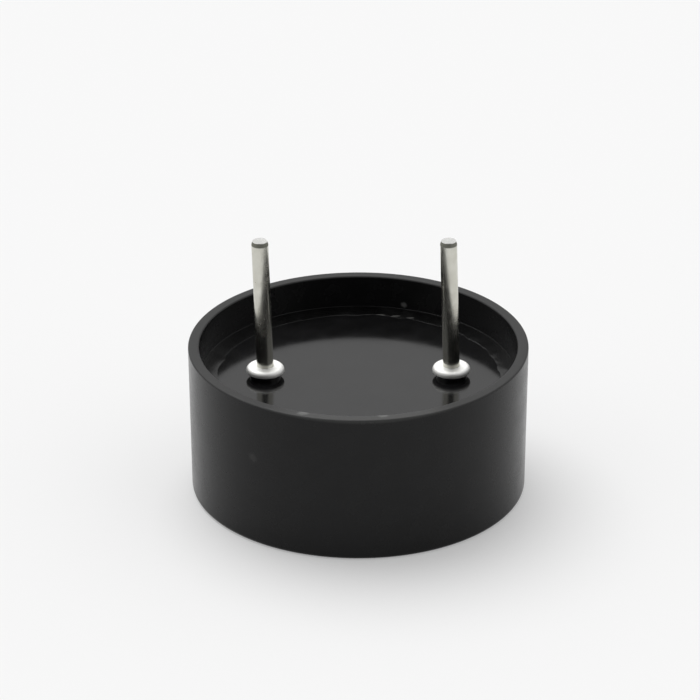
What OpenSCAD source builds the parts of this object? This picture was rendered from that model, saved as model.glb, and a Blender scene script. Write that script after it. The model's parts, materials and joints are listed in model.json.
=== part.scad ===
// Round piezo buzzer for a circuit board, standing on its sound face with its two pins up.
// The origin is the middle of the sound face. +Z runs out along the pins and +X along the pin row.

/* [Case] */
// Outer diameter of the case at its rear rim
case_d = 23.2; // [20:0.1:28]
// Height of the case from the sound face to the rear rim
case_h = 10.5; // [9:0.1:14]
// Draft of the moulded outer wall in degrees
case_draft = 0.75; // [0.25:0.25:2]
// Thickness of the wall at the rear rim
rim_wall = 0.75; // [0.6:0.05:1]
// Rounding of the two edges of the rim
rim_round = 0.12; // [0.05:0.01:0.2]
// Rounding of the edge round the sound face
foot_round = 0.3; // [0.1:0.05:0.5]
// Thickness of the front wall
front_wall = 1; // [0.8:0.1:1.6]
// Depth of the open recess behind the rear plate
recess_depth = 2.45; // [2:0.05:3.6]
// Draft of the recess wall in degrees
recess_draft = 1; // [0.5:0.25:2]

/* [Sound port] */
// Diameter of the sound port in the front wall
port_d = 2.5; // [1.5:0.1:3.8]
// Chamfer round the outer mouth of the sound port
port_chamfer = 0.2; // [0.1:0.05:0.4]
// Rounding in the corner of the cavity behind the port
cavity_round = 0.4; // [0.2:0.05:0.8]

/* [Rear plate] */
// Thickness of the rear plate
plate_t = 1.5; // [1:0.1:2]
// Radial play between the rear plate and the case
plate_play = 0.05; // [0.02:0.01:0.1]
// Chamfer round the upper edge of the rear plate, filled by the seal
plate_chamfer = 0.25; // [0.1:0.05:0.5]
// Diameter of the boss under each pin collar
boss_d = 2.1; // [1.6:0.1:3]
// Height of that boss above the plate
boss_h = 0.35; // [0.1:0.05:1]
// Diameter of the boss round each pin on the inner side of the plate
inner_boss_d = 2.4; // [1.8:0.1:3]
// Height of the inner boss
inner_boss_h = 0.5; // [0.3:0.05:0.8]
// Width of the seal on the floor
seal_w = 1.4; // [0.3:0.1:2]
// Height of the seal up the wall
seal_h = 0.15; // [0.1:0.05:0.8]
// Play between the seal and the wall of the recess
seal_play = 0.005; // [0.002:0.001:0.01]

/* [Pins] */
// Distance between the two pins
pin_pitch = 12.7; // [10:0.1:15]
// Diameter of a pin
pin_d = 1.15; // [0.6:0.05:1.2]
// Reach of a pin past the rear rim
pin_reach = 7.7; // [4:0.05:12]
// Lean of the bent left pin towards the left, in degrees
left_lean = 1.7; // [0:0.1:4]
// Lean of the bent right pin towards the left, in degrees
right_lean = 1.6; // [0:0.1:4]
// How far a pin narrows at its tip, on the radius
tip_inset = 0.08; // [0.04:0.01:0.2]
// Length over which the tip narrows
tip_taper = 0.25; // [0.1:0.05:0.6]
// Diameter of the collar headed on a pin
collar_d = 2.6; // [2:0.1:3.2]
// Thickness of the collar
collar_t = 0.45; // [0.25:0.05:0.6]
// Rounding of the collar's lower edge
collar_round = 0.1; // [0.05:0.01:0.12]
// Radial play of a pin in its bore
pin_play = 0.01; // [0.005:0.005:0.02]
// Length of a pin inside the case, past the inner boss
pin_tail = 0.8; // [0.7:0.05:1]

/* [Diaphragm] */
// Width of the ledge that carries the rear plate, round the diaphragm
ledge_w = 0.7; // [0.4:0.05:1]
// Height of the space between the brass disc and the rear plate
rear_cavity_h = 2.7; // [2.4:0.1:3.5]
// Thickness of the brass disc
disc_t = 0.2; // [0.1:0.05:0.3]
// Radial play of the brass disc in the case
disc_play = 0.1; // [0.05:0.05:0.2]
// Width of the step that carries the edge of the brass disc
step_w = 1; // [0.6:0.1:1.4]
// Width of the bare brass between the silicone and the ceramic
bare_w = 2.1; // [1.4:0.1:3]
// Thickness of the ceramic disc
ceramic_t = 0.22; // [0.1:0.02:0.3]
// Bare edge of the ceramic round the silver face
silver_margin = 0.5; // [0.2:0.1:1.5]
// Thickness of the silver face
silver_t = 0.05; // [0.03:0.01:0.1]
// Width of the silicone ring on the brass disc
glue_w = 0.9; // [0.5:0.1:1.2]
// Height of the silicone ring above the brass disc
glue_h = 0.5; // [0.3:0.05:0.8]

/* [Leads] */
// Diameter of a lead's bare wire
wire_d = 0.24; // [0.15:0.01:0.3]
// Diameter over a lead's insulation
jacket_d = 0.6; // [0.45:0.05:0.65]
// Gap between the end of a lead's wire and its pin
lead_gap = 0.05; // [0.02:0.01:0.1]
// Diameter of the solder round a pin's inner end
pin_solder_d = 1.7; // [1.4:0.05:2]
// Diameter of the solder on the silver face
face_solder_d = 1.6; // [1.2:0.1:2]
// Height of the solder on the silver face and on the brass disc
pad_solder_h = 0.45; // [0.3:0.05:0.5]

/* [Hidden] */
$fn = 96;

// How far a cut runs past what it cuts
overrun = 1;
// Faces in a quarter of a rounded edge
round_steps = 6;
// Faces in the hollow face of the seal
seal_steps = 5;

// Radii and heights of the case
rim_r = case_d / 2;
recess_r = rim_r - rim_wall;
port_r = port_d / 2;
floor_z = case_h - recess_depth;
seat_z = floor_z - plate_t;
seat_r = recess_r - recess_depth * tan(recess_draft);
plate_r = seat_r - plate_play;
bore_r = seat_r - ledge_w;
disc_r = bore_r - disc_play;
cavity_r = disc_r - step_w;
disc_top_z = seat_z - rear_cavity_h;
step_z = disc_top_z - disc_t;

// Heights of the pins
pin_r = pin_d / 2;
collar_z = floor_z + boss_h;
bend_z = collar_z + collar_t / 2;
dome_share = 0.85;
collar_dome = (collar_t - collar_round) * dome_share;
tip_z = case_h + pin_reach;
inner_boss_z = seat_z - inner_boss_h;
tail_z = inner_boss_z - pin_tail;
left_x = -pin_pitch / 2;
right_x = pin_pitch / 2;

// Radii and heights of the diaphragm's layers
ceramic_r = disc_r - glue_w - bare_w;
ceramic_top_z = disc_top_z + ceramic_t;
silver_r = ceramic_r - silver_margin;
silver_top_z = ceramic_top_z + silver_t;

// Where the two leads land, in degrees round the axis and as a share of the silver face
face_land_turn = 215;
face_land_share = 0.66;
plate_land_turn = 42;
face_land = silver_r * face_land_share * [cos(face_land_turn), sin(face_land_turn)];
plate_land = (ceramic_r + bare_w / 2) * [cos(plate_land_turn), sin(plate_land_turn)];
plate_solder_share = 0.7;
plate_solder_d = bare_w * plate_solder_share;

// How the two leads run: each is [its pin's place, its landing, the height of the landing]
lead_z = inner_boss_z - pin_tail / 2;
pull_share = 0.6;
lead_stations = 16;
jacket_first = 2;
jacket_last = 12;
lead_sides = 12;
face_lead = [[left_x, 0], face_land, silver_top_z];
plate_lead = [[right_x, 0], plate_land, disc_top_z];

// Points along an arc about a centre, from one angle to another
function arc(centre, radius, from, to) =
    [for (i = [0 : round_steps])
        let (a = from + (to - from) * i / round_steps)
        centre + radius * [cos(a), sin(a)]];

// A point on a curve that starts at a, is drawn towards b and ends at c
function curve_point(a, b, c, share) =
    (1 - share) * (1 - share) * a + 2 * share * (1 - share) * b + share * share * c;

// Distance of a rounding's centre from a drafted outer wall through the rim's corner
function outer_centre(round_r, z) = rim_r - (case_h - z) * tan(case_draft) - round_r / cos(case_draft);

// Distance of the inner rounding's centre from the axis
function inner_centre(round_r, z) = recess_r - (case_h - z) * tan(recess_draft) + round_r / cos(recess_draft);

// Half section of the case, from the mouth of the sound port round to its inner end
function case_section() = concat(
    [[port_r + port_chamfer, 0]],
    arc([outer_centre(foot_round, foot_round), foot_round], foot_round, -90, -case_draft),
    arc([outer_centre(rim_round, case_h - rim_round), case_h - rim_round], rim_round, -case_draft, 90),
    arc([inner_centre(rim_round, case_h - rim_round), case_h - rim_round], rim_round, 90, 180 - recess_draft),
    [[seat_r, floor_z], [seat_r, seat_z], [bore_r, seat_z], [bore_r, step_z], [cavity_r, step_z]],
    arc([cavity_r - cavity_round, front_wall + cavity_round], cavity_round, 0, -90),
    [[port_r, front_wall], [port_r, port_chamfer]]
);

// The moulded cup: front wall with its sound port, step, ledge and open recess
module case() {
    color("#1b1b1c") rotate_extrude() polygon(case_section());
}

// Both pins' places, one after the other
module at_pins() {
    for (x = [left_x, right_x]) translate([x, 0, 0]) children();
}

// The disc that closes the case, with a boss on both sides of each pin bore
module rear_plate() {
    color("#242425") difference() {
        union() {
            translate([0, 0, seat_z]) cylinder(h = plate_t - plate_chamfer, r = plate_r);
            translate([0, 0, floor_z - plate_chamfer])
                cylinder(h = plate_chamfer, r1 = plate_r, r2 = plate_r - plate_chamfer);
            at_pins() translate([0, 0, inner_boss_z])
                cylinder(h = inner_boss_h + plate_t / 2, d = inner_boss_d);
            at_pins() translate([0, 0, floor_z - plate_t / 2])
                cylinder(h = boss_h + plate_t / 2, d = boss_d);
        }
        at_pins() translate([0, 0, inner_boss_z - overrun])
            cylinder(h = collar_z - inner_boss_z + 2 * overrun, r = pin_r + pin_play);
    }
}

// The sealant in the corner between floor and wall, with a hollow face
module rear_seal() {
    wall_r = seat_r - seal_play;
    wall_top = [wall_r + seal_h * tan(recess_draft), floor_z + seal_h];
    corner = [wall_r, floor_z];
    floor_end = [plate_r - plate_chamfer - seal_w, floor_z];
    pulled = (corner + (wall_top + floor_end) / 2) / 2;
    color("#3a3a3a") rotate_extrude() polygon(concat(
        [[plate_r, floor_z - plate_chamfer], [wall_r, floor_z - plate_chamfer], corner],
        [for (i = [0 : seal_steps]) curve_point(wall_top, pulled, floor_end, i / seal_steps)],
        [[plate_r - plate_chamfer, floor_z]]
    ));
}

// Half section of a collar, well rounded on top
function collar_section() = concat(
    [[0, 0]],
    arc([collar_d / 2 - collar_round, collar_round], collar_round, -90, 0),
    arc([collar_d / 2 - collar_dome, collar_t - collar_dome], collar_dome, 0, 90),
    [[0, collar_t]]
);

// One headed pin, upright in its bore and bent at its collar
module pin_solid(x, lean) {
    free_len = (tip_z - bend_z) / cos(lean);
    translate([x, 0, 0]) {
        translate([0, 0, tail_z]) cylinder(h = bend_z - tail_z, r = pin_r);
        translate([0, 0, collar_z]) rotate_extrude() polygon(collar_section());
        translate([0, 0, bend_z]) rotate([0, -lean, 0]) {
            cylinder(h = free_len - tip_taper, r = pin_r);
            translate([0, 0, free_len - tip_taper])
                cylinder(h = tip_taper, r1 = pin_r, r2 = pin_r - tip_inset);
        }
    }
}

module pin_left() {
    color("#c9c8bf") pin_solid(left_x, left_lean);
}

module pin_right() {
    color("#c9c8bf") pin_solid(right_x, right_lean);
}

// The brass disc that rests on the step of the case
module diaphragm_plate() {
    color("#c8a24a") translate([0, 0, step_z]) cylinder(h = disc_t, r = disc_r);
}

module piezo_disc() {
    color("#e6dfcb") translate([0, 0, disc_top_z]) cylinder(h = ceramic_t, r = ceramic_r);
}

module silver_face() {
    color("#d5d5d2") translate([0, 0, ceramic_top_z]) cylinder(h = silver_t, r = silver_r);
}

// The silicone that fills the play round the brass disc and overlaps its edge
module diaphragm_glue() {
    color("#dcdcd6") rotate_extrude() polygon([
        [disc_r, step_z],
        [bore_r, step_z],
        [bore_r, disc_top_z + glue_h],
        [disc_r - glue_w / 2, disc_top_z + glue_h / 2],
        [disc_r - glue_w, disc_top_z],
        [disc_r, disc_top_z]
    ]);
}

// The four points that draw a lead's curve in its own upright plane: out from the pin, over and down
function lead_pulls(lead) =
    let (
        run = norm(lead[1] - lead[0]),
        out = pin_r + lead_gap,
        drop = lead_z - lead[2]
    )
    [
        [out, lead_z],
        [out + (run - out) * pull_share, lead_z],
        [run, lead[2] + drop * pull_share],
        [run, lead[2]]
    ];

// A point on that curve at a share of its way
function lead_spot(q, t) =
    (1 - t) ^ 3 * q[0] + 3 * t * (1 - t) ^ 2 * q[1] + 3 * t ^ 2 * (1 - t) * q[2] + t ^ 3 * q[3];

// The direction of that curve at a share of its way
function lead_way(q, t) =
    let (w = (1 - t) ^ 2 * (q[1] - q[0]) + 2 * t * (1 - t) * (q[2] - q[1]) + t ^ 2 * (q[3] - q[2]))
    w / norm(w);

// Points round a lead at one of its stations
function lead_ring(lead, station, radius) =
    let (
        q = lead_pulls(lead),
        spot = lead_spot(q, station / lead_stations),
        way = lead_way(q, station / lead_stations),
        along = (lead[1] - lead[0]) / norm(lead[1] - lead[0])
    )
    [for (side = [0 : lead_sides - 1])
        let (
            up = radius * cos(360 * side / lead_sides),
            across = radius * sin(360 * side / lead_sides),
            out = spot[0] - way[1] * up
        )
        [
            lead[0][0] + along[0] * out - along[1] * across,
            lead[0][1] + along[1] * out + along[0] * across,
            spot[1] + way[0] * up
        ]];

// Triangles between one ring of points and the next, round the whole ring
function ring_faces(from, to) =
    [for (side = [0 : lead_sides - 1])
        let (
            a = from * lead_sides + side,
            b = from * lead_sides + (side + 1) % lead_sides,
            c = to * lead_sides + (side + 1) % lead_sides,
            d = to * lead_sides + side
        )
        each [[a, b, c], [a, c, d]]];

// The bare wire of a lead, from beside its pin to its landing
module lead_core(lead) {
    last = lead_stations;
    polyhedron(
        points = [for (i = [0 : last]) each lead_ring(lead, i, wire_d / 2)],
        faces = concat(
            [[for (side = [lead_sides - 1 : -1 : 0]) side]],
            [for (i = [0 : last - 1]) each ring_faces(i, i + 1)],
            [[for (side = [0 : lead_sides - 1]) last * lead_sides + side]]
        )
    );
}

// The insulation of a lead, stripped back from the solder at both ends
module lead_jacket(lead) {
    outside = [for (i = [jacket_first : jacket_last]) [i, jacket_d / 2]];
    inside = [for (i = [jacket_last : -1 : jacket_first]) [i, wire_d / 2]];
    rings = concat(outside, inside);
    polyhedron(
        points = [for (r = rings) each lead_ring(lead, r[0], r[1])],
        faces = [for (i = [0 : len(rings) - 1]) each ring_faces(i, (i + 1) % len(rings))]
    );
}

// A cap of solder on a flat face, round the end of a wire
module pad_solder(at, z, d) {
    ball_r = (d * d / 4 + pad_solder_h * pad_solder_h) / (2 * pad_solder_h);
    translate([at[0], at[1], z]) intersection() {
        translate([0, 0, pad_solder_h - ball_r]) sphere(r = ball_r);
        cylinder(h = pad_solder_h + overrun, r = ball_r + overrun);
    }
}

// A ball of solder round a pin's inner end, flat against the inner boss
module pin_solder(x) {
    translate([x, 0, lead_z]) intersection() {
        sphere(d = pin_solder_d);
        translate([0, 0, -pin_solder_d])
            cylinder(h = pin_solder_d + inner_boss_z - lead_z, r = pin_solder_d);
    }
}

module face_lead_core() {
    color("#c9835a") lead_core(face_lead);
}

module face_lead_jacket() {
    color("#b3322c") lead_jacket(face_lead);
}

module plate_lead_core() {
    color("#c9835a") lead_core(plate_lead);
}

module plate_lead_jacket() {
    color("#2b2b2b") lead_jacket(plate_lead);
}

module face_solder() {
    color("#b9bbbd") difference() {
        pad_solder(face_land, silver_top_z, face_solder_d);
        lead_core(face_lead);
    }
}

module plate_solder() {
    color("#b9bbbd") difference() {
        pad_solder(plate_land, disc_top_z, plate_solder_d);
        lead_core(plate_lead);
    }
}

module pin_left_solder() {
    color("#b9bbbd") difference() {
        pin_solder(left_x);
        pin_solid(left_x, left_lean);
        lead_core(face_lead);
    }
}

module pin_right_solder() {
    color("#b9bbbd") difference() {
        pin_solder(right_x);
        pin_solid(right_x, right_lean);
        lead_core(plate_lead);
    }
}

case();
rear_plate();
rear_seal();
pin_left();
pin_right();
diaphragm_plate();
piezo_disc();
silver_face();
diaphragm_glue();
face_lead_core();
face_lead_jacket();
plate_lead_core();
plate_lead_jacket();
face_solder();
plate_solder();
pin_left_solder();
pin_right_solder();
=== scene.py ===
"""Looks of a round piezo buzzer that stands on its sound face with its two pins up.

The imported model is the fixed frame. The case, the rear plate, the seal and the pins are modelled again as
smooth meshes of the same form, the pieces inside keep their solids, and every piece has its own finish.
"""
import json
import logging
import math
from dataclasses import dataclass, field
from enum import Enum
from itertools import pairwise
from typing import Any

import bpy
from mathutils import Matrix, Vector


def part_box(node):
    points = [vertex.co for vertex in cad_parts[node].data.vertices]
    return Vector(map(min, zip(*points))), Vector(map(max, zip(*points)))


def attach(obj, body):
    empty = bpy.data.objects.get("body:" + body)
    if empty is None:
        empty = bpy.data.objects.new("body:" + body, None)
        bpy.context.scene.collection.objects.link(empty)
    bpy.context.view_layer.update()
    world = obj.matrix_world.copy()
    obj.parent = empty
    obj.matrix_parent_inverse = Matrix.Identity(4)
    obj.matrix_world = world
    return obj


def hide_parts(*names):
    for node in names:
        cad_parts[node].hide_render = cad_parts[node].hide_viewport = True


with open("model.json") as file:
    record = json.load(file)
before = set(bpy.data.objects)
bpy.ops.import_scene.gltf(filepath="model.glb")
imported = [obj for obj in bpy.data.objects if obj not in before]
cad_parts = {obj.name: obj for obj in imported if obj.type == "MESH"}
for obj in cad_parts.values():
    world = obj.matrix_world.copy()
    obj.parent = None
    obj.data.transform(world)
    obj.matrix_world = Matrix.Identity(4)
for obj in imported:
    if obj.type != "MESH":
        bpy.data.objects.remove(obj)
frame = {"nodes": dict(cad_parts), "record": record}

MM = 0.001
BODY = "root"

ROUND_SIDES = 256
PIN_SIDES = 64
ARC_STEPS = 8
WELD = 1e-7
SMOOTH_ANGLE = math.radians(32)
TIP_ANGLE = math.radians(15)

NOISE_SPAN = (0.3, 0.7)
PATCH_SCALE = 0.04
LINE_STRETCH = 0.012
SPOT_NOISE = 1.4
SPOT_RAGGED = 0.5
SPOT_EDGE = (0.7, 1.2)

Ring = tuple[float, float]
Point = tuple[float, float]
Span = tuple[float, float]
Place = tuple[float, float, float]
Colour = tuple[float, float, float]
Socket = bpy.types.NodeSocket
log = logging.getLogger("buzzer")


class Slot(Enum):
    """Material slots of the record, by the finish that they hold."""

    CASE = "case_plastic"
    PLATE = "plate_plastic"
    SEALANT = "sealant"
    PIN = "tinned_pin"
    BRASS = "brass_disc"
    CERAMIC = "piezo_ceramic"
    SILVER = "silver"
    SILICONE = "silicone"
    WIRE = "lead_wire"
    RED_JACKET = "red_jacket"
    BLACK_JACKET = "black_jacket"
    SOLDER = "solder"


class Cut(Enum):
    """What a boolean does with the second shape."""

    JOIN = "UNION"
    REMOVE = "DIFFERENCE"


def arc(centre: Ring, radius: float, start: float, end: float) -> list[Ring]:
    """Draws a rounded corner of a half section.

    Args:
        centre: Distance from the axis and height of the arc's centre.
        radius: Radius of the arc.
        start: Angle of its first point in degrees, from the outward direction.
        end: Angle of its last point.

    Returns:
        Points along the arc, both ends included.
    """
    turns = [math.radians(start + (end - start) * i / ARC_STEPS) for i in range(ARC_STEPS + 1)]
    return [(centre[0] + radius * math.cos(a), centre[1] + radius * math.sin(a)) for a in turns]


class Bench:
    """Modelling steps that several pieces share."""

    @staticmethod
    def clear() -> None:
        """Leaves edit mode and deselects everything."""
        if bpy.context.object and bpy.context.object.mode != "OBJECT":
            bpy.ops.object.mode_set(mode="OBJECT")
        bpy.ops.object.select_all(action="DESELECT")

    @staticmethod
    def pick(piece: bpy.types.Object) -> None:
        """Makes one object the only selected and the active one.

        Args:
            piece: The object.
        """
        Bench.clear()
        piece.select_set(True)
        bpy.context.view_layer.objects.active = piece

    @staticmethod
    def turn(
        name: str, section: list[Ring], sides: int, at: Point = (0.0, 0.0), closed: bool = False
    ) -> bpy.types.Object:
        """Draws a turned solid: a circle that is extruded, raised and scaled from ring to ring.

        Args:
            name: Name of the new object.
            section: Radius and height of each ring, in order along the half section.
            sides: Faces round the axis.
            at: Place of the upright axis.
            closed: True where the section ends at its start, False where both ends are flat faces.

        Returns:
            The object, with its place in its mesh.
        """
        Bench.clear()
        first = section[0]
        fill = "NOTHING" if closed else "NGON"
        bpy.ops.mesh.primitive_circle_add(
            vertices=sides, radius=first[0], fill_type=fill, location=(*at, first[1])
        )
        piece = bpy.context.object
        piece.name = piece.data.name = name
        bpy.ops.object.transform_apply(location=True, rotation=True, scale=True)
        bpy.ops.object.mode_set(mode="EDIT")
        bpy.ops.mesh.select_mode(type="EDGE")
        bpy.ops.mesh.select_all(action="SELECT")
        for (radius, z), (next_radius, next_z) in pairwise(section + [first] if closed else section):
            bpy.ops.mesh.extrude_edges_move(TRANSFORM_OT_translate={"value": (0, 0, next_z - z)})
            scale = next_radius / radius
            bpy.ops.transform.resize(value=(scale, scale, 1), center_override=(*at, next_z))
        if not closed:
            bpy.ops.mesh.edge_face_add()
        bpy.ops.mesh.select_all(action="SELECT")
        bpy.ops.mesh.remove_doubles(threshold=WELD)
        bpy.ops.mesh.normals_make_consistent(inside=False)
        bpy.ops.object.mode_set(mode="OBJECT")
        return piece

    @staticmethod
    def cut(piece: bpy.types.Object, tool: bpy.types.Object, how: Cut) -> None:
        """Joins a second shape to a piece, or cuts it out, and deletes it.

        Args:
            piece: The object that stays.
            tool: The object that is used up.
            how: Whether the second shape is joined or removed.
        """
        Bench.pick(piece)
        modifier = piece.modifiers.new(how.name, "BOOLEAN")
        modifier.operation = how.value
        modifier.solver = "EXACT"
        modifier.object = tool
        bpy.ops.object.modifier_apply(modifier=modifier.name)
        bpy.data.objects.remove(tool)

    @staticmethod
    def smooth(piece: bpy.types.Object, weighted: bool = True, angle: float = SMOOTH_ANGLE) -> None:
        """Shades round faces smooth and keeps the flat faces beside them flat.

        Args:
            piece: The object.
            weighted: True where rounded edges run into flat faces.
            angle: Steepest angle between two faces that are smoothed together.
        """
        Bench.pick(piece)
        bpy.ops.object.shade_smooth_by_angle(angle=angle)
        if not weighted:
            return
        modifier = piece.modifiers.new("Flat faces first", "WEIGHTED_NORMAL")
        modifier.keep_sharp = True
        bpy.ops.object.modifier_apply(modifier=modifier.name)


class Graph:
    """Adds and links the nodes of one shader tree."""

    def __init__(self, tree: bpy.types.NodeTree) -> None:
        """Keeps the tree that the nodes go into."""
        self.tree = tree

    def feed(self, node: bpy.types.Node, links: dict[Any, Any]) -> None:
        """Links or sets inputs of a node.

        Args:
            node: The node.
            links: For each input, a socket to link from or a plain value.
        """
        for key, value in links.items():
            if isinstance(value, Socket):
                self.tree.links.new(value, node.inputs[key])
            else:
                node.inputs[key].default_value = value

    def add(self, kind: str, links: dict[Any, Any] | None = None, **settings: Any) -> bpy.types.Node:
        """Adds one node.

        Args:
            kind: Blender's name for the node.
            links: For each input, a socket to link from or a plain value.
            settings: Properties of the node itself.

        Returns:
            The new node.
        """
        node = self.tree.nodes.new(kind)
        for key, value in settings.items():
            setattr(node, key, value)
        self.feed(node, links or {})
        return node

    def math(self, operation: str, a: Any, b: Any = 0.0) -> Socket:
        """Gives the result of one sum on two values or sockets."""
        return self.add("ShaderNodeMath", {0: a, 1: b}, operation=operation).outputs[0]

    def vector(self, operation: str, a: Any, b: Any = (0.0, 0.0, 0.0)) -> bpy.types.Node:
        """Gives the node of one sum on two vectors."""
        return self.add("ShaderNodeVectorMath", {0: a, 1: b}, operation=operation)

    def noise(self, place: Socket, scale: Any, **settings: float) -> Socket:
        """Gives a cloudy value at a place."""
        links = {"Vector": place, "Scale": scale, **settings}
        return self.add("ShaderNodeTexNoise", links).outputs["Fac"]

    def ramp(self, value: Any, low: float, high: float, to_low: float, to_high: float) -> Socket:
        """Maps a value from one span to another, and stops at both ends."""
        links = {0: value, 1: low, 2: high, 3: to_low, 4: to_high}
        return self.add("ShaderNodeMapRange", links).outputs[0]

    def mix(self, share: Any, a: Any, b: Any) -> Socket:
        """Mixes two colours or sockets by a share."""
        under, over = ((*c, 1.0) if isinstance(c, tuple) else c for c in (a, b))
        return self.add("ShaderNodeMix", {0: share, 6: under, 7: over}, data_type="RGBA").outputs[2]

    def height(self, place: Socket) -> Socket:
        """Gives the height of a place."""
        return self.add("ShaderNodeSeparateXYZ", {0: place}).outputs["Z"]

    def rougher(self, gloss: Socket, mask: Socket, roughness: float) -> Socket:
        """Raises a roughness to another one where a mask is 1."""
        return self.math("MAXIMUM", gloss, self.math("MULTIPLY", mask, roughness))

    def shown(self) -> Socket:
        """Finds the rays that show the background.

        Returns:
            1 for rays to the camera, mirrored or let through, and 0 for others.
        """
        path = self.add("ShaderNodeLightPath").outputs
        mirrored = self.math("MAXIMUM", path["Is Camera Ray"], path["Is Glossy Ray"])
        return self.math("MAXIMUM", mirrored, path["Is Transmission Ray"])


class Effect(Enum):
    """Effects that several finishes share, each a group of shader nodes."""

    GRAIN = "Moulded grain"
    LINES = "Drawn lines"
    SPOT = "Spot"

    def group(self) -> bpy.types.NodeTree:
        """Gives the effect's node group, built the first time that it is asked for."""
        builders = {Effect.GRAIN: _grain, Effect.LINES: _lines, Effect.SPOT: _spot}
        return bpy.data.node_groups.get(self.value) or builders[self](self.value)

    def place(self, graph: Graph, links: dict[str, Any]) -> Any:
        """Places the group in a finish's tree with that finish's own values, and gives its outputs."""
        return graph.add("ShaderNodeGroup", links, node_tree=self.group()).outputs


def _new_group(name: str, inputs: dict[str, str], outputs: list[str]) -> tuple[Graph, Any, bpy.types.Node]:
    """Starts a shader node group.

    Args:
        name: Name of the group.
        inputs: Name and socket type of each input.
        outputs: Names of the outputs, which are all values.

    Returns:
        The group's graph, its input sockets by name and its output node.
    """
    tree = bpy.data.node_groups.new(name, "ShaderNodeTree")
    for key, kind in inputs.items():
        tree.interface.new_socket(key, in_out="INPUT", socket_type=kind)
    for key in outputs:
        tree.interface.new_socket(key, in_out="OUTPUT", socket_type="NodeSocketFloat")
    graph = Graph(tree)
    return graph, graph.add("NodeGroupInput").outputs, graph.add("NodeGroupOutput")


def _grain(name: str) -> bpy.types.NodeTree:
    """Builds the fine grain of a moulded surface, with broad patches in its gloss.

    Args:
        name: Name of the group.

    Returns:
        The group.
    """
    inputs = {"Vector": "NodeSocketVector", "Size": "NodeSocketFloat"}
    graph, given, out = _new_group(name, inputs, ["Height", "Patch"])
    scale = graph.math("DIVIDE", 1.0, given["Size"])
    fine = graph.noise(given["Vector"], scale, Detail=4.0, Roughness=0.6)
    wide = graph.math("MULTIPLY", scale, PATCH_SCALE)
    patch = graph.noise(given["Vector"], wide, Detail=3.0, Roughness=0.5)
    graph.feed(out, {"Height": fine, "Patch": graph.ramp(patch, *NOISE_SPAN, 0.0, 1.0)})
    return graph.tree


def _lines(name: str) -> bpy.types.NodeTree:
    """Builds fine lines along the Z axis, as a die or a mould leaves them.

    Args:
        name: Name of the group.

    Returns:
        The group.
    """
    inputs = {"Vector": "NodeSocketVector", "Size": "NodeSocketFloat"}
    graph, given, out = _new_group(name, inputs, ["Height"])
    scale = graph.math("DIVIDE", 1.0, given["Size"])
    long_scale = graph.math("MULTIPLY", scale, LINE_STRETCH)
    stretch = graph.add("ShaderNodeCombineXYZ", {0: scale, 1: scale, 2: long_scale}).outputs[0]
    place = graph.vector("MULTIPLY", given["Vector"], stretch).outputs[0]
    graph.feed(out, {"Height": graph.noise(place, 1.0, Detail=3.0)})
    return graph.tree


def _spot(name: str) -> bpy.types.NodeTree:
    """Builds one ragged spot round a point of the surface.

    Args:
        name: Name of the group.

    Returns:
        The group.
    """
    inputs = dict.fromkeys(("Vector", "Centre", "Half size"), "NodeSocketVector")
    graph, given, out = _new_group(name, inputs, ["Mask"])
    away = graph.vector("SUBTRACT", given["Vector"], given["Centre"]).outputs[0]
    unit = graph.vector("DIVIDE", away, given["Half size"]).outputs[0]
    ragged = graph.math("MULTIPLY", graph.noise(unit, SPOT_NOISE, Detail=2.0), SPOT_RAGGED)
    edge = graph.math("ADD", graph.vector("LENGTH", unit).outputs["Value"], ragged)
    graph.feed(out, {"Mask": graph.ramp(edge, *SPOT_EDGE, 1.0, 0.0)})
    return graph.tree


@dataclass(frozen=True)
class Spot:
    """A small pale mark on a surface: a speck of dust, or a painted highlight or sheen where an edge or a
    nick catches the light.

    Attributes:
        centre: Where it is, in metres.
        half_size: Its half size along each axis.
        cover: How much of the colour under it is hidden, from 0 to 1.
    """

    centre: Place
    half_size: Place
    cover: float = 1.0


@dataclass(frozen=True)
class Finish:
    """What every finish has.

    Attributes:
        name: Name of its material.
        colour: Its main colour.
        roughness: Its main roughness.
    """

    name: str
    colour: Colour
    roughness: float

    def material(self) -> bpy.types.Material:
        """Builds the material, which each kind of finish does in its own way."""
        raise NotImplementedError

    def start(self) -> tuple[Graph, bpy.types.Node, Socket]:
        """Starts the material.

        Returns:
            Its graph, its Principled shader and the Object coordinates.
        """
        material = bpy.data.materials.new(self.name)
        material.use_nodes = True
        graph = Graph(material.node_tree)
        shader = material.node_tree.nodes["Principled BSDF"]
        return graph, shader, graph.add("ShaderNodeTexCoord").outputs["Object"]

    def bump(self, graph: Graph, height: Socket, depth: float) -> Socket:
        """Gives the normal of a surface that is raised a little by a height."""
        links = {"Height": height, "Distance": depth, "Strength": 1.0}
        return graph.add("ShaderNodeBump", links).outputs["Normal"]

    def mark(self, graph: Graph, place: Socket, colour: Any, spots: tuple[Spot, ...], pale: Colour) -> Any:
        """Lays pale marks over a colour.

        Args:
            graph: Graph of the material.
            place: The Object coordinates.
            colour: Colour or socket under the marks.
            spots: The marks.
            pale: Their colour.

        Returns:
            The colour with the marks on it.
        """
        for spot in spots:
            links = {"Vector": place, "Centre": spot.centre, "Half size": spot.half_size}
            mask = Effect.SPOT.place(graph, links)["Mask"]
            colour = graph.mix(graph.math("MULTIPLY", mask, spot.cover), colour, pale)
        return colour


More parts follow.
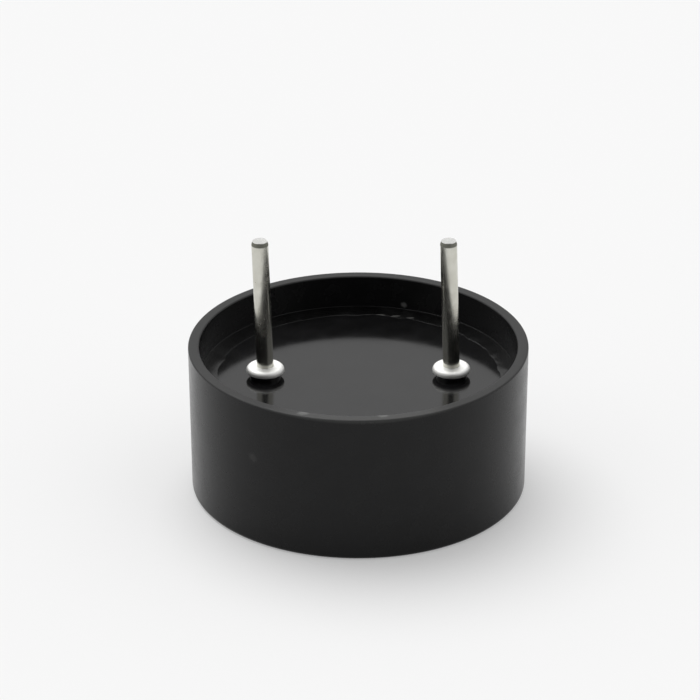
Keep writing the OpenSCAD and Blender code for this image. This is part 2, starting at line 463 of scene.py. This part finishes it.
@dataclass(frozen=True)
class Plastic(Finish):
    """Satin moulded plastic with a fine grain, draw lines and a few pale marks.

    Attributes:
        lit_colour: Colour of the paler patches.
        gloss_swing: How far the roughness swings from patch to patch.
        grain: Size of the grain.
        grain_depth: Height of the grain.
        specular: Strength of the reflection of a smooth surface.
        spots: Pale marks on it.
        spot_colour: Their colour.
        sheen_z: Height above which a painted sheen makes the rim top paler, in place of the light that it
            catches.
        sheen_fade: Height over which the painted sheen sets in.
        sheen_colour: Colour there.
        sheen_roughness: Roughness there.
    """

    lit_colour: Colour = (0.016, 0.016, 0.0165)
    gloss_swing: float = 0.06
    grain: float = 0.06 * MM
    grain_depth: float = 0.0016 * MM
    specular: float = 0.5
    spots: tuple[Spot, ...] = ()
    spot_colour: Colour = (0.12, 0.12, 0.117)
    sheen_z: float | None = None
    sheen_fade: float = 0.05 * MM
    sheen_colour: Colour = (0.026, 0.026, 0.026)
    sheen_roughness: float = 0.45

    def material(self) -> bpy.types.Material:
        """Builds the material.

        Returns:
            The material.
        """
        graph, shader, place = self.start()
        grain = Effect.GRAIN.place(graph, {"Vector": place, "Size": self.grain})
        lines = Effect.LINES.place(graph, {"Vector": place, "Size": self.grain})
        colour = graph.mix(grain["Patch"], self.colour, self.lit_colour)
        low, high = self.roughness - self.gloss_swing, self.roughness + self.gloss_swing
        gloss = graph.ramp(grain["Patch"], 0.0, 1.0, low, high)
        # Painted sheen: above this height the colour turns paler and the gloss rougher, standing in for the
        # light on the rim top.
        if self.sheen_z is not None:
            sheen = graph.ramp(graph.height(place), self.sheen_z, self.sheen_z + self.sheen_fade, 0.0, 1.0)
            colour = graph.mix(sheen, colour, self.sheen_colour)
            gloss = graph.rougher(gloss, sheen, self.sheen_roughness)
        height = graph.math("ADD", grain["Height"], lines["Height"])
        graph.feed(shader, {
            "Base Color": self.mark(graph, place, colour, self.spots, self.spot_colour),
            "Roughness": gloss,
            "Specular IOR Level": self.specular,
            "Normal": self.bump(graph, height, self.grain_depth),
        })
        return bpy.data.materials[self.name]


@dataclass(frozen=True)
class Sealant(Finish):
    """Dark glossy resin, spread by hand, with paler patches and a few painted highlights.

    Attributes:
        streak_colour: Colour of its paler patches.
        streak_scale: Scale of these patches, as a share of the lumps' scale.
        streak_span: Noise values between which a patch sets in.
        gloss_swing: How far the roughness rises from lump to lump.
        lump: Size of the lumps.
        lump_depth: Height of the lumps.
        specular: Strength of the reflection of a smooth surface.
        spots: Painted highlights on it, where its lip and fillet catch the light.
        spot_colour: Their colour.
    """

    streak_colour: Colour = (0.007, 0.007, 0.007)
    streak_scale: float = 0.3
    streak_span: Span = (0.5, 0.68)
    gloss_swing: float = 0.06
    lump: float = 0.5 * MM
    lump_depth: float = 0.003 * MM
    specular: float = 0.34
    spots: tuple[Spot, ...] = ()
    spot_colour: Colour = (0.07, 0.07, 0.068)

    def material(self) -> bpy.types.Material:
        """Builds the material.

        Returns:
            The material.
        """
        graph, shader, place = self.start()
        lumps = graph.noise(place, 1.0 / self.lump, Detail=4.0)
        streaks = graph.noise(place, self.streak_scale / self.lump, Detail=2.0)
        share = graph.ramp(streaks, *self.streak_span, 0.0, 1.0)
        colour = graph.mix(share, self.colour, self.streak_colour)
        graph.feed(shader, {
            "Base Color": self.mark(graph, place, colour, self.spots, self.spot_colour),
            "Roughness": graph.ramp(lumps, *NOISE_SPAN, self.roughness, self.roughness + self.gloss_swing),
            "Specular IOR Level": self.specular,
            "Normal": self.bump(graph, lumps, self.lump_depth),
        })
        return bpy.data.materials[self.name]


@dataclass(frozen=True)
class Metal(Finish):
    """Bare or plated metal, with drawn lines along the Z axis or an even grain.

    Attributes:
        stain_colour: Colour of its duller patches.
        gloss_swing: How much rougher these patches are.
        line: Width of its lines, or size of its grain.
        line_depth: Depth of its lines.
        drawn: True for lines, False for an even grain.
        dull_z: Height under which the metal is dull.
        dull_fade: Height over which it turns bright again.
        dull_roughness: Roughness of dull metal.
        dull_colour: Its colour.
        dull_metallic: How metallic it looks.
        dark_band: Heights between which a painted dark band on the tip's taper stands in for the dark front
            sky that it mirrors.
        dark_band_fade: Height over which the painted dark band sets in.
        dark_band_colour: Colour there.
        end_fade: Height over which the painted dark band turns into the end face.
        end_colour: Colour of the end face.
    """

    stain_colour: Colour = (0.6, 0.58, 0.52)
    gloss_swing: float = 0.1
    line: float = 0.03 * MM
    line_depth: float = 0.0015 * MM
    drawn: bool = True
    dull_z: float | None = None
    dull_fade: float = 0.03 * MM
    dull_roughness: float = 0.6
    dull_colour: Colour = (0.9, 0.9, 0.88)
    dull_metallic: float = 0.85
    dark_band: Span | None = None
    dark_band_fade: float = 0.08 * MM
    dark_band_colour: Colour = (0.21, 0.21, 0.18)
    end_fade: float = 0.01 * MM
    end_colour: Colour = (0.77, 0.77, 0.75)

    def material(self) -> bpy.types.Material:
        """Builds the material.

        Returns:
            The material.
        """
        graph, shader, place = self.start()
        grain = Effect.GRAIN.place(graph, {"Vector": place, "Size": self.line})
        colour = graph.mix(grain["Patch"], self.colour, self.stain_colour)
        gloss = graph.ramp(grain["Patch"], 0.0, 1.0, self.roughness, self.roughness + self.gloss_swing)
        metallic: Any = 1.0
        if self.dull_z is not None:
            dull = graph.ramp(graph.height(place), self.dull_z, self.dull_z + self.dull_fade, 1.0, 0.0)
            colour = graph.mix(dull, colour, self.dull_colour)
            gloss = graph.rougher(gloss, dull, self.dull_roughness)
            metallic = graph.ramp(dull, 0.0, 1.0, 1.0, self.dull_metallic)
        # Painted reflection: a dark band on the tip's taper in place of the dark sky that it mirrors, with
        # the end face's colour above it.
        if self.dark_band is not None:
            low, high = self.dark_band
            over = graph.ramp(graph.height(place), low, low + self.dark_band_fade, 0.0, 1.0)
            under = graph.ramp(graph.height(place), high, high + self.end_fade, 1.0, 0.0)
            dark_band = graph.math("MULTIPLY", over, under)
            colour = graph.mix(dark_band, graph.mix(over, colour, self.end_colour), self.dark_band_colour)
            gloss = graph.rougher(gloss, dark_band, self.dull_roughness)
        height = grain["Height"]
        if self.drawn:
            height = Effect.LINES.place(graph, {"Vector": place, "Size": self.line})["Height"]
        graph.feed(shader, {
            "Base Color": colour,
            "Roughness": gloss,
            "Metallic": metallic,
            "Normal": self.bump(graph, height, self.line_depth),
        })
        return bpy.data.materials[self.name]


@dataclass
class Case:
    """The moulded cup: front wall with its sound port, step, ledge and open recess.

    Attributes:
        rim_wall: Thickness of the wall at the rim.
        rim_round: Radius of the rim's edges.
        foot_round: Radius of the foot's edge.
        draft: Draft of the outer wall, in degrees.
        recess_draft: Draft of the recess, in degrees.
        plate_t: Thickness of the rear plate that it holds.
        plate_chamfer: Chamfer of that plate.
        ledge_w: Width of the ledge that the plate sits on.
        step_w: Width of the step that the diaphragm sits on.
        disc_play: Gap round the diaphragm.
        front_wall: Thickness of the front wall.
        cavity_round: Radius in the corner of the front cavity.
        port_r: Radius of the sound port.
        port_chamfer: Chamfer of its mouth.
        rim_r: Outer radius of the rim, from the frame.
        height: Height of the rim, from the frame.
        step_z: Height of the step, from the frame.
        floor_z: Height of the recess floor, from the frame.
    """

    rim_wall: float = 0.75 * MM
    rim_round: float = 0.12 * MM
    foot_round: float = 0.3 * MM
    draft: float = 0.75
    recess_draft: float = 1.0
    plate_t: float = 1.5 * MM
    plate_chamfer: float = 0.25 * MM
    ledge_w: float = 0.7 * MM
    step_w: float = 1.0 * MM
    disc_play: float = 0.1 * MM
    front_wall: float = 1.0 * MM
    cavity_round: float = 0.4 * MM
    port_r: float = 1.25 * MM
    port_chamfer: float = 0.2 * MM
    rim_r: float = field(init=False)
    height: float = field(init=False)
    step_z: float = field(init=False)
    floor_z: float = field(init=False)

    def __post_init__(self) -> None:
        """Takes the overall sizes from the frame."""
        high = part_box("case")[1]
        self.rim_r, self.height = high.y, high.z
        self.step_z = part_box("diaphragm_plate")[0].z
        self.floor_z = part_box("rear_seal")[0].z + self.plate_chamfer

    @property
    def seat_r(self) -> float:
        """Radius of the recess at its floor."""
        depth = self.height - self.floor_z
        return self.rim_r - self.rim_wall - depth * math.tan(math.radians(self.recess_draft))

    def section(self) -> list[Ring]:
        """Draws the half section.

        Returns:
            Its rings, from the mouth of the port round to its inner end.
        """
        slope = math.tan(math.radians(self.draft))
        inner_slope = math.tan(math.radians(self.recess_draft))
        foot_r = self.rim_r - (self.height - self.foot_round) * slope - self.foot_round
        land_z = self.height - self.rim_round
        outer_r = self.rim_r - self.rim_round * (1 + slope)
        inner_r = self.rim_r - self.rim_wall + self.rim_round * (1 - inner_slope)
        seat_z = self.floor_z - self.plate_t
        bore_r = self.seat_r - self.ledge_w
        cavity_r = bore_r - self.disc_play - self.step_w
        corner = (cavity_r - self.cavity_round, self.front_wall + self.cavity_round)
        return [
            (self.port_r + self.port_chamfer, 0.0),
            *arc((foot_r, self.foot_round), self.foot_round, -90, -self.draft),
            *arc((outer_r, land_z), self.rim_round, -self.draft, 90),
            *arc((inner_r, land_z), self.rim_round, 90, 180 - self.recess_draft),
            (self.seat_r, self.floor_z),
            (self.seat_r, seat_z),
            (bore_r, seat_z),
            (bore_r, self.step_z),
            (cavity_r, self.step_z),
            *arc(corner, self.cavity_round, 0, -90),
            (self.port_r, self.front_wall),
            (self.port_r, self.port_chamfer),
        ]

    def build(self) -> bpy.types.Object:
        """Turns the cup.

        Returns:
            The cup.
        """
        piece = Bench.turn("case_shell", self.section(), ROUND_SIDES, closed=True)
        Bench.smooth(piece)
        return piece

    def finish(self) -> Plastic:
        """Gives the finish of the cup.

        Returns:
            Satin plastic with a painted sheen on the rim top and along the front rim, painted highlights at
            two nicks of the rim's inner edge, and two pale specks.
        """
        wall_speck = Spot((-7.03 * MM, -9.16 * MM, 6.5 * MM), (0.42 * MM, 0.6 * MM, 0.42 * MM), cover=0.15)
        recess_speck = Spot((3.22 * MM, 10.34 * MM, 8.52 * MM), (0.3 * MM, 0.3 * MM, 0.26 * MM))
        # Painted sheen across the front rim, in place of the light that its land catches.
        front_rim_sheen = Spot((0.0, -11.1 * MM, self.height), (9.0 * MM, 3.0 * MM, 0.3 * MM), cover=0.26)
        # Painted highlights where two small nicks in the rim's inner edge catch the light.
        left_nick_highlight = Spot((-3.65 * MM, -10.5 * MM, self.height), (0.5 * MM, 0.34 * MM, 0.2 * MM))
        right_nick_highlight = Spot((1.62 * MM, -10.84 * MM, self.height), (0.45 * MM, 0.34 * MM, 0.2 * MM))
        return Plastic(
            "case_plastic_satin",
            (0.006, 0.006, 0.0062),
            0.26,
            lit_colour=(0.0085, 0.0085, 0.0088),
            gloss_swing=0.04,
            specular=0.2,
            spots=(wall_speck, recess_speck, front_rim_sheen, left_nick_highlight, right_nick_highlight),
            # Painted sheen on the rim top.
            sheen_z=self.height - self.rim_round,
        )


@dataclass
class RearPlate:
    """The disc that closes the case, with a boss on both sides of each pin bore.

    Attributes:
        case: The case that holds it.
        play: Gap round its edge.
        boss_r: Radius of the bosses under the collars.
        inner_boss_r: Radius of the bosses inside the case.
        bore_play: Gap round a pin in its bore.
        overrun: How far a bore's cutter runs past the bosses.
    """

    case: Case
    play: float = 0.05 * MM
    boss_r: float = 1.05 * MM
    inner_boss_r: float = 1.2 * MM
    bore_play: float = 0.01 * MM
    overrun: float = 1.0 * MM

    def build(self, pins: list["Pin"]) -> bpy.types.Object:
        """Turns the disc, joins the bosses and bores them.

        Args:
            pins: The pins that stand in it.

        Returns:
            The plate.
        """
        low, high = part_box("rear_plate")
        floor_z, seat_z = self.case.floor_z, self.case.floor_z - self.case.plate_t
        middle_z = (floor_z + seat_z) / 2
        edge_r = self.case.seat_r - self.play
        section = [
            (edge_r, seat_z),
            (edge_r, floor_z - self.case.plate_chamfer),
            (edge_r - self.case.plate_chamfer, floor_z),
        ]
        plate = Bench.turn("rear_plate_disc", section, ROUND_SIDES)
        for pin in pins:
            at = (pin.x, 0.0)
            bore_r = pin.radius + self.bore_play
            outer = [(self.boss_r, middle_z), (self.boss_r, high.z)]
            inner = [(self.inner_boss_r, low.z), (self.inner_boss_r, middle_z)]
            bore = [(bore_r, low.z - self.overrun), (bore_r, high.z + self.overrun)]
            Bench.cut(plate, Bench.turn("boss", outer, PIN_SIDES, at), Cut.JOIN)
            Bench.cut(plate, Bench.turn("inner_boss", inner, PIN_SIDES, at), Cut.JOIN)
            Bench.cut(plate, Bench.turn("bore", bore, PIN_SIDES, at), Cut.REMOVE)
        Bench.smooth(plate, weighted=False)
        return plate

    def finish(self) -> Plastic:
        """Gives the finish of the plate.

        Returns:
            Plastic that is glossier than the case.
        """
        return Plastic(
            "plate_plastic_satin",
            (0.004, 0.004, 0.0042),
            0.12,
            lit_colour=(0.007, 0.007, 0.0073),
            gloss_swing=0.02,
            grain_depth=0.0003 * MM,
        )


@dataclass
class Seal:
    """The sealant in the corner between the floor and the wall, spread by hand.

    Attributes:
        case: The case whose recess it lies in.
        plate: The plate that it seals.
        width: From the plate's chamfer to its inner lip, on average.
        play: Gap to the wall.
        lip: Radius of its rounded inner lip.
        fillet: Radius at which it climbs the wall.
        wander: How far its lip strays.
        lump_height: How far its face rises and sinks.
        lump: Size of both.
    """

    case: Case
    plate: RearPlate
    width: float = 0.85 * MM
    play: float = 0.005 * MM
    lip: float = 0.02 * MM
    fillet: float = 0.03 * MM
    wander: float = 0.3 * MM
    lump_height: float = 0.012 * MM
    lump: float = 1.5 * MM

    def build(self) -> bpy.types.Object:
        """Turns the bead and spreads it unevenly.

        Returns:
            The bead.
        """
        floor_z, wall_r = self.case.floor_z, self.case.seat_r - self.play
        edge_r = self.case.seat_r - self.plate.play
        foot_z = floor_z - self.case.plate_chamfer
        face_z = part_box("rear_seal")[1].z
        chamfer_r = edge_r - self.case.plate_chamfer
        section = [
            (edge_r, foot_z),
            (wall_r, foot_z),
            *arc((wall_r - self.fillet, face_z + self.fillet), self.fillet, -6, -84),
            *arc((chamfer_r - self.width + self.lip, floor_z), self.lip, 96, 180),
            (chamfer_r, floor_z),
        ]
        bead = Bench.turn("seal_bead", section, ROUND_SIDES, closed=True)
        self._spread(bead, floor_z + self.lip, face_z)
        Bench.smooth(bead)
        return bead

    def _spread(self, bead: bpy.types.Object, low_z: float, high_z: float) -> None:
        """Lets the lip stray and the face rise and sink with cloudy displacements.

        Args:
            bead: The even bead.
            low_z: Height of the lip.
            high_z: Height of the face at the wall.
        """
        spans = {"lip": (low_z - self.lip, low_z + self.lip), "face": (low_z, high_z + self.fillet)}
        for group, (low, high) in spans.items():
            members = [v.index for v in bead.data.vertices if low <= v.co.z <= high]
            bead.vertex_groups.new(name=group).add(members, 1.0, "REPLACE")
        moves = (("X", "lip", self.wander), ("Y", "lip", self.wander), ("Z", "face", self.lump_height))
        for axis, group, reach in moves:
            clouds = bpy.data.textures.new(f"sealant_{axis}", "CLOUDS")
            clouds.noise_scale = self.lump
            clouds.noise_depth = 2
            Bench.pick(bead)
            modifier = bead.modifiers.new(f"Uneven {axis}", "DISPLACE")
            modifier.texture = clouds
            modifier.texture_coords = "LOCAL"
            modifier.vertex_group = group
            modifier.direction = axis
            modifier.strength = reach * 2
            modifier.mid_level = 0.5
            bpy.ops.object.modifier_apply(modifier=modifier.name)

    def finish(self) -> Sealant:
        """Gives the finish of the sealant.

        Returns:
            Dark resin with painted highlights at the back and on the left, where its lip catches the light.
        """
        z = self.case.floor_z + 0.05 * MM
        # Painted highlights: pale dashes where the glossy lip and fillet catch the light.
        back = ((1.5, 9.62, 0.5), (2.6, 9.4, 0.45), (3.6, 9.1, 0.4))
        left = ((-7.9, 4.75, 0.22), (-7.5, 4.3, 0.16))
        streaks = tuple(
            Spot((x * MM, y * MM, z), (half * MM, 0.13 * MM, 0.3 * MM)) for x, y, half in back + left
        )
        return Sealant("sealant_resin", (0.003, 0.003, 0.003), 0.13, spots=streaks)


@dataclass
class Pin:
    """A headed pin, upright in its bore and bent at its collar.

    Attributes:
        node: Name of the CAD node that it stands for.
        x: Place of its bore along the pin row.
        radius: Radius of its shaft.
        collar_r: Radius of its collar.
        collar_t: Thickness of its collar.
        collar_round: Radius of the collar's lower edge.
        collar_dome: Radius of the collar's upper edge.
        neck: Radius in the corner between collar and shaft.
        tip_inset: How much smaller the tip's radius is.
        tip_taper: Length of the taper at the tip.
        dark_band_reach: How far the painted dark band reaches down past the taper.
        end_margin: How far it stays under the end face.
    """

    node: str
    x: float
    radius: float = 0.575 * MM
    collar_r: float = 1.3 * MM
    collar_t: float = 0.45 * MM
    collar_round: float = 0.1 * MM
    collar_dome: float = 0.2975 * MM
    neck: float = 0.03 * MM
    tip_inset: float = 0.08 * MM
    tip_taper: float = 0.25 * MM
    dark_band_reach: float = 0.12 * MM
    end_margin: float = 0.05 * MM

    def lean(self) -> float:
        """Gives the lean of the pin along the pin row, in radians, from the record's mount."""
        axis = next(m["axis"] for m in frame["record"]["mounts"] if m["name"] == self.node)
        return math.atan2(axis[0], axis[2])

    def build(self) -> bpy.types.Object:
        """Turns the pin upright with its collar, then bends it over.

        Returns:
            The pin.
        """
        low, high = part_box(self.node)
        collar_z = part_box("rear_plate")[1].z
        bend_z = collar_z + self.collar_t / 2
        top_z = collar_z + self.collar_t
        lean = self.lean()
        tip_lift = (self.radius - self.tip_inset) * math.sin(abs(lean))
        end_z = bend_z + (high.z - tip_lift - bend_z) / math.cos(lean)
        edge_r = self.collar_r - self.collar_round
        dome_r = self.collar_r - self.collar_dome
        neck_r = self.radius + self.neck
        section = [
            (self.radius, low.z),
            (self.radius, collar_z),
            *arc((edge_r, collar_z + self.collar_round), self.collar_round, -90, 0),
            *arc((dome_r, top_z - self.collar_dome), self.collar_dome, 0, 90),
            *arc((neck_r, top_z + self.neck), self.neck, -90, -180),
            (self.radius, end_z - self.tip_taper),
            (self.radius - self.tip_inset, end_z),
        ]
        piece = Bench.turn(f"{self.node}_tinned", section, PIN_SIDES, (self.x, 0.0))
        self._bend(piece, lean, bend_z, top_z + self.neck / 2)
        Bench.smooth(piece, angle=TIP_ANGLE)
        return piece

    def _bend(self, piece: bpy.types.Object, lean: float, bend_z: float, from_z: float) -> None:
        """Turns the free length over about the bend.

        Args:
            piece: The upright pin.
            lean: Angle of the lean.
            bend_z: Height of the bend.
            from_z: Height above which the pin leans.
        """
        Bench.pick(piece)
        bpy.ops.object.mode_set(mode="EDIT")
        bpy.ops.mesh.select_mode(type="VERT")
        bpy.ops.mesh.select_all(action="DESELECT")
        bpy.ops.object.mode_set(mode="OBJECT")
        for vertex in piece.data.vertices:
            vertex.select = vertex.co.z > from_z
        bpy.ops.object.mode_set(mode="EDIT")
        bpy.ops.transform.rotate(value=-lean, orient_axis="Y", center_override=(self.x, 0.0, bend_z))
        bpy.ops.object.mode_set(mode="OBJECT")

    def finish(self) -> Metal:
        """Gives the tin plating that both pins share.

        Returns:
            Tin that is dull on the collars, with a painted dark reflection on the taper at the tips.
        """
        tip_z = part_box(self.node)[1].z
        return Metal(
            "tin_plating",
            (0.62, 0.615, 0.56),
            0.18,
            stain_colour=(0.55, 0.54, 0.48),
            dull_z=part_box("rear_plate")[1].z + self.collar_t,
            # Painted dark reflection on the tip's taper.
            dark_band=(tip_z - self.tip_taper - self.dark_band_reach, tip_z - self.end_margin),
        )


@dataclass
class Sounder:
    """The pieces inside the case, which keep their solids and get their finishes."""

    def finishes(self) -> dict[str, tuple[Slot, Finish]]:
        """Chooses the finishes of the inner pieces.

        Returns:
            For each inner node, its slot and its finish.
        """
        brass = Metal("rolled_brass", (0.72, 0.53, 0.22), 0.28, (0.62, 0.43, 0.17), drawn=False)
        silver = Metal("printed_silver", (0.8, 0.8, 0.78), 0.42, (0.7, 0.7, 0.67), drawn=False)
        copper = Metal("bare_copper", (0.72, 0.42, 0.28), 0.3, (0.6, 0.33, 0.22), drawn=False)
        solder = Metal("dull_solder", (0.62, 0.63, 0.64), 0.34, (0.5, 0.51, 0.52), drawn=False)
        ceramic = Plastic("fired_ceramic", (0.72, 0.68, 0.56), 0.6, (0.8, 0.76, 0.65))
        silicone = Plastic("cured_silicone", (0.7, 0.7, 0.67), 0.45, (0.78, 0.78, 0.75))
        red = Plastic("red_insulation", (0.42, 0.05, 0.045), 0.42, (0.5, 0.07, 0.06))
        black = Plastic("black_insulation", (0.03, 0.03, 0.03), 0.42, (0.04, 0.04, 0.04))
        return {
            "diaphragm_plate": (Slot.BRASS, brass),
            "piezo_disc": (Slot.CERAMIC, ceramic),
            "silver_face": (Slot.SILVER, silver),
            "diaphragm_glue": (Slot.SILICONE, silicone),
            "face_lead_core": (Slot.WIRE, copper),
            "plate_lead_core": (Slot.WIRE, copper),
            "face_lead_jacket": (Slot.RED_JACKET, red),
            "plate_lead_jacket": (Slot.BLACK_JACKET, black),
            "face_solder": (Slot.SOLDER, solder),
            "plate_solder": (Slot.SOLDER, solder),
            "pin_left_solder": (Slot.SOLDER, solder),
            "pin_right_solder": (Slot.SOLDER, solder),
        }

    def dress(self) -> None:
        """Gives every inner node its finish."""
        for node, (slot, finish) in self.finishes().items():
            dress(frame["nodes"][node], finish)
            log.info("%s keeps its solid, slot %s", node, slot.value)


@dataclass(frozen=True)
class Viewpoint:
    """The camera, set to see the buzzer as it stands in the photograph.

    Attributes:
        image_px: Side of the square image.
        focal_px: Focal length in pixels of that image.
        sensor_mm: Width of the camera's sensor.
        distance: From the camera to the point that it is aimed by.
        elevation: Of the camera over that point, in degrees.
        roll: Of the image, in degrees.
        aim_z: Height of that point on the axis.
        aim_px: Pixel at which that point is seen.
        nearest: Distance from which the camera sees.
    """

    image_px: float = 700.0
    focal_px: float = 4410.0
    sensor_mm: float = 36.0
    distance: float = 302.6 * MM
    elevation: float = 26.77
    roll: float = -0.06
    aim_z: float = 5.28 * MM
    aim_px: Point = (358.3, 412.1)
    nearest: float = 10.0 * MM

    @staticmethod
    def turned(first: Vector, second: Vector, angle: float) -> tuple[Vector, Vector]:
        """Turns two upright vectors in their plane, the first towards the second."""
        cos, sin = math.cos(angle), math.sin(angle)
        return first * cos + second * sin, second * cos - first * sin

    def build(self) -> bpy.types.Object:
        """Makes the scene's camera and turns it so that the point falls on its pixel.

        Returns:
            The camera.
        """
        rise = math.radians(self.elevation)
        back = Vector((0.0, -math.cos(rise), math.sin(rise)))
        eye = Vector((0.0, 0.0, self.aim_z)) + back * self.distance
        right, look = Vector((1.0, 0.0, 0.0)), -back
        up = back.cross(right)
        across = (self.aim_px[0] - self.image_px / 2) / self.focal_px
        down = (self.aim_px[1] - self.image_px / 2) / self.focal_px
        look, right = self.turned(look, right, -math.atan(across))
        look, up = self.turned(look, up, math.atan(down / math.hypot(1.0, across)))
        right, up = self.turned(right, up, math.radians(self.roll))
        camera = bpy.data.objects.new("camera", bpy.data.cameras.new("camera"))
        bpy.context.scene.collection.objects.link(camera)
        camera.matrix_world = Matrix.Translation(eye) @ Matrix((right, up, -look)).transposed().to_4x4()
        camera.data.sensor_width = self.sensor_mm
        camera.data.lens = self.focal_px / self.image_px * self.sensor_mm
        camera.data.clip_start = self.nearest
        bpy.context.scene.camera = camera
        return camera


@dataclass(frozen=True)
class Studio:
    """A pale floor, a soft key light from behind and a pale sky with a dark part over the front.

    Attributes:
        floor_half: Half the floor's side.
        floor_colour: Colour of the floor.
        floor_glow: How much paler the floor is shown.
        key_strength: Strength of the key light.
        key_angle: Its apparent size, in degrees.
        key_from: Direction that it comes from.
        sky: Level of the sky.
        dark: Level of its dark part.
        dark_towards: Direction of the middle of that part.
        dark_edge: Cosines between which the sky darkens.
        horizon: Level at the horizon.
        horizon_edge: Heights between which the horizon fades.
    """

    floor_half: float = 3.0
    floor_colour: Colour = (0.56, 0.56, 0.56)
    floor_glow: float = 0.291
    key_strength: float = 1.75
    key_angle: float = 50.0
    key_from: Place = (-0.22, 0.45, 1.0)
    sky: float = 0.79
    dark: float = 0.08
    dark_towards: Place = (0.0, -0.893, 0.45)
    dark_edge: Span = (0.68, 0.88)
    horizon: float = 0.93
    horizon_edge: Span = (0.04, 0.16)

    def build(self) -> None:
        """Makes the floor, the light and the sky."""
        bpy.context.scene.view_settings.view_transform = "Standard"
        self._floor()
        self._key()
        self._sky()

    def _floor(self) -> None:
        """Lays a matte floor under the part."""
        Bench.clear()
        bpy.ops.mesh.primitive_plane_add(size=2 * self.floor_half)
        floor = bpy.context.object
        floor.name = "floor"
        bpy.ops.object.transform_apply(location=True, rotation=True, scale=True)
        material = bpy.data.materials.new("floor_paper")
        material.use_nodes = True
        graph = Graph(material.node_tree)
        graph.feed(material.node_tree.nodes["Principled BSDF"], {
            "Base Color": (*self.floor_colour, 1.0),
            "Roughness": 1.0,
            "Specular IOR Level": 0.0,
            "Emission Color": (1.0, 1.0, 1.0, 1.0),
            "Emission Strength": graph.math("MULTIPLY", graph.shown(), self.floor_glow),
        })
        floor.data.materials.append(material)

    def _key(self) -> None:
        """Hangs the soft key light behind the part, a little to the left."""
        lamp = bpy.data.lights.new("key", "SUN")
        lamp.energy = self.key_strength
        lamp.angle = math.radians(self.key_angle)
        key = bpy.data.objects.new("key", lamp)
        bpy.context.scene.collection.objects.link(key)
        key.rotation_euler = Vector(self.key_from).to_track_quat("Z", "Y").to_euler()

    def _sky(self) -> None:
        """Makes a pale sky, white at the horizon and dark over the front."""
        world = bpy.data.worlds.new("studio_sky")
        world.use_nodes = True
        bpy.context.scene.world = world
        graph = Graph(world.node_tree)
        towards = graph.add("ShaderNodeTexCoord").outputs["Generated"]
        front = graph.vector("DOT_PRODUCT", towards, self.dark_towards).outputs["Value"]
        light = graph.ramp(front, *self.dark_edge, self.sky, self.dark)
        horizon = graph.ramp(graph.height(towards), *self.horizon_edge, self.horizon, 0.0)
        level = graph.math("MAXIMUM", light, horizon)
        graph.feed(world.node_tree.nodes["Background"], {"Color": (1.0, 1.0, 1.0, 1.0), "Strength": level})


def dress(piece: bpy.types.Object, finish: Finish) -> None:
    """Gives an object one finish all over.

    Args:
        piece: The object.
        finish: Its finish.
    """
    material = bpy.data.materials.get(finish.name) or finish.material()
    piece.data.materials.clear()
    piece.data.materials.append(material)


def mount(piece: bpy.types.Object, node: str) -> None:
    """Lets a modelled piece stand for its CAD node.

    Args:
        piece: The modelled piece.
        node: The CAD node that it replaces.
    """
    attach(piece, BODY)
    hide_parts(node)
    log.info("%s stands for %s, %d faces", piece.name, node, len(piece.data.polygons))


def main() -> None:
    """Builds the studio and the buzzer, piece by piece."""
    logging.basicConfig(level=logging.INFO, format="%(name)s: %(message)s")
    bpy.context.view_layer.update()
    solder_low, solder_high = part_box("pin_right_solder")
    half_pitch = (solder_low.x + solder_high.x) / 2
    Studio().build()
    Viewpoint().build()
    case = Case()
    pins = [Pin("pin_left", -half_pitch), Pin("pin_right", half_pitch)]
    plate = RearPlate(case)
    seal = Seal(case, plate)
    for part, node, slot, finish in (
        (case.build(), "case", Slot.CASE, case.finish()),
        (plate.build(pins), "rear_plate", Slot.PLATE, plate.finish()),
        (seal.build(), "rear_seal", Slot.SEALANT, seal.finish()),
        *[(pin.build(), pin.node, Slot.PIN, pin.finish()) for pin in pins],
    ):
        dress(part, finish)
        mount(part, node)
    Sounder().dress()


if __name__ == "__main__":
    main()
